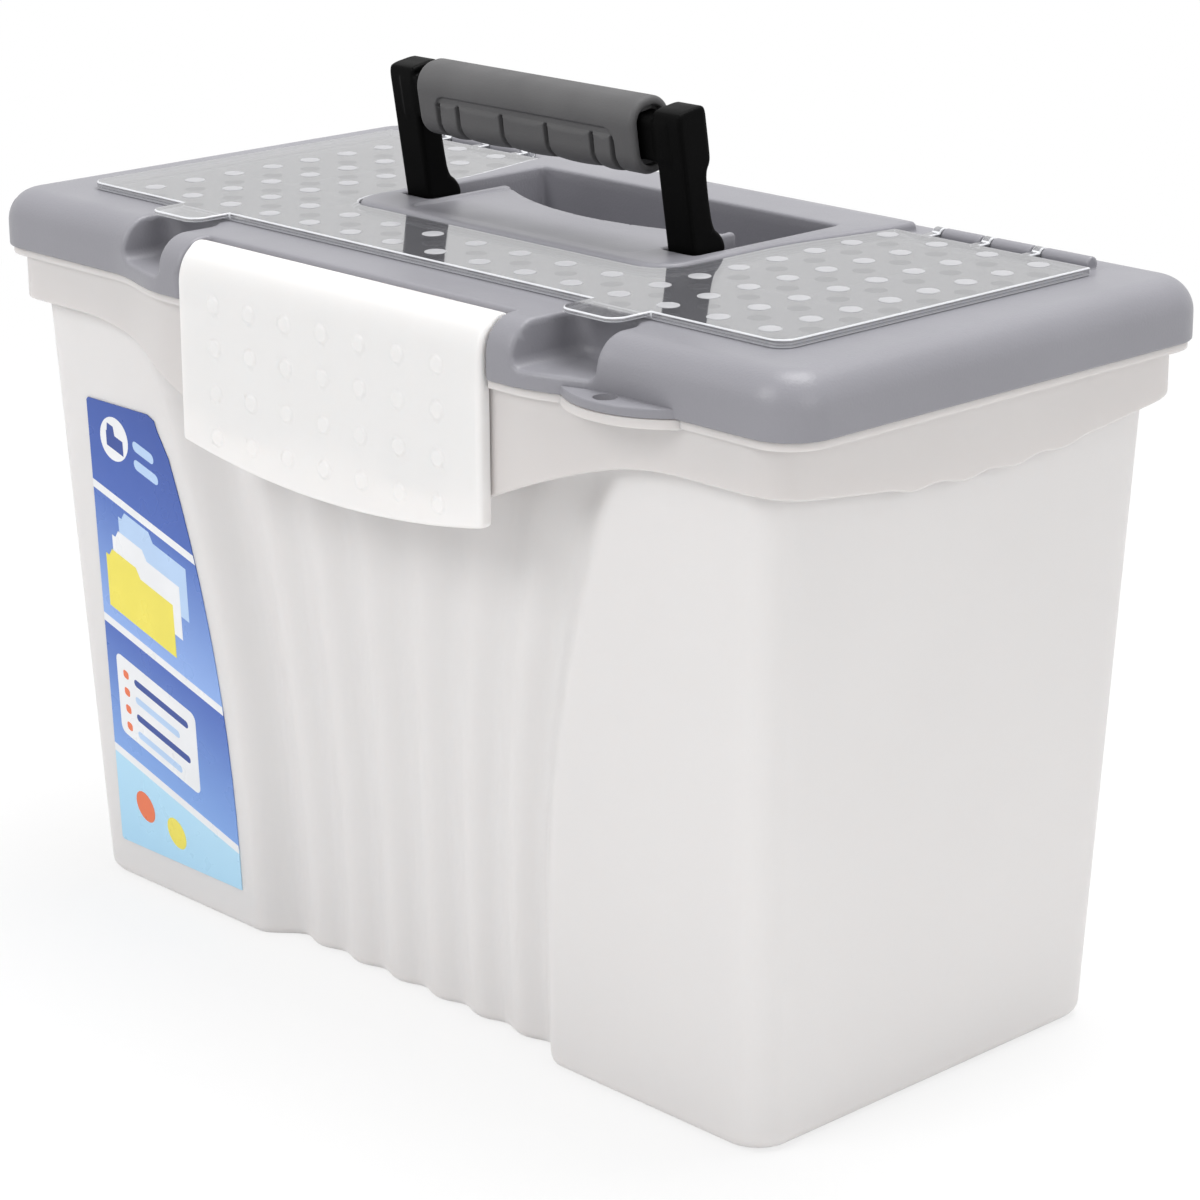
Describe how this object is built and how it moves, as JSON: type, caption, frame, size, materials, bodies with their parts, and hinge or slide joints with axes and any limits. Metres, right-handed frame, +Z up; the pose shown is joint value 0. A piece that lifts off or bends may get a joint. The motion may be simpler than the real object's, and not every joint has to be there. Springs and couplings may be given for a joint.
{
  "type": "portable file box",
  "caption": "Tapered translucent box for hanging files, with a hinged organiser lid, clear lid cover, wide front latch and a folding handle.",
  "frame": {"origin": "middle of the resting face under the tub", "axes": "+X along the front towards the padlock ears, +Y from the latch to the lid hinge, +Z up"},
  "size_m": [0.435, 0.237, 0.341],
  "materials": {
    "tub_plastic": "frosted translucent",
    "lid_plastic": "satin",
    "latch_plastic": "frosted translucent",
    "cover_plastic": "clear with frosted dots",
    "handle_plastic": "satin black",
    "grip_rubber": "soft matt",
    "slide_plastic": "frosted translucent",
    "lock_plastic": "satin",
    "pin_steel": "bright",
    "label_paper": "printed paper label"
  },
  "bodies": {
    "tub_body": {"tub": "tub_plastic", "label": "label_paper", "lid_hinge_pin_left": "pin_steel", "lid_hinge_pin_right": "pin_steel"},
    "lid_body": {"lid": "lid_plastic", "latch_pin_left": "pin_steel", "latch_pin_right": "pin_steel", "cover_pin_left": "pin_steel", "cover_pin_right": "pin_steel", "handle_pin_left": "pin_steel", "handle_pin_right": "pin_steel"},
    "latch_body": {"latch": "latch_plastic"},
    "cover_body": {"organizer_cover": "cover_plastic"},
    "handle_body": {"handle_frame": "handle_plastic", "handle_grip": "grip_rubber"},
    "slide_body": {"file_slide": "slide_plastic"},
    "lock_left_body": {"slide_lock_left": "lock_plastic"},
    "lock_right_body": {"slide_lock_right": "lock_plastic"}
  },
  "joints": [
    {"name": "lid_hinge", "type": "hinge", "parent": "tub_body", "child": "lid_body", "pos_m": [0, 0.113, 0.261], "axis": [-1, 0, 0], "range_deg": [0, 105]},
    {"name": "latch_hinge", "type": "hinge", "parent": "lid_body", "child": "latch_body", "pos_m": [0, -0.1069, 0.2775], "axis": [-1, 0, 0], "range_deg": [0, 85]},
    {"name": "cover_hinge", "type": "hinge", "parent": "lid_body", "child": "cover_body", "pos_m": [0, 0.083, 0.2849], "axis": [-1, 0, 0], "range_deg": [0, 100]},
    {"name": "handle_hinge", "type": "hinge", "parent": "lid_body", "child": "handle_body", "pos_m": [0, -0.0043, 0.281], "axis": [-1, 0, 0], "range_deg": [0, 99]},
    {"name": "file_slide_travel", "type": "slide", "parent": "tub_body", "child": "slide_body", "axis": [0, -1, 0], "range_m": [0, 0.14]},
    {"name": "left_lock_travel", "type": "slide", "parent": "slide_body", "child": "lock_left_body", "axis": [-1, 0, 0], "range_m": [0, 0.003]},
    {"name": "right_lock_travel", "type": "slide", "parent": "slide_body", "child": "lock_right_body", "axis": [1, 0, 0], "range_m": [0, 0.003]}
  ]
}
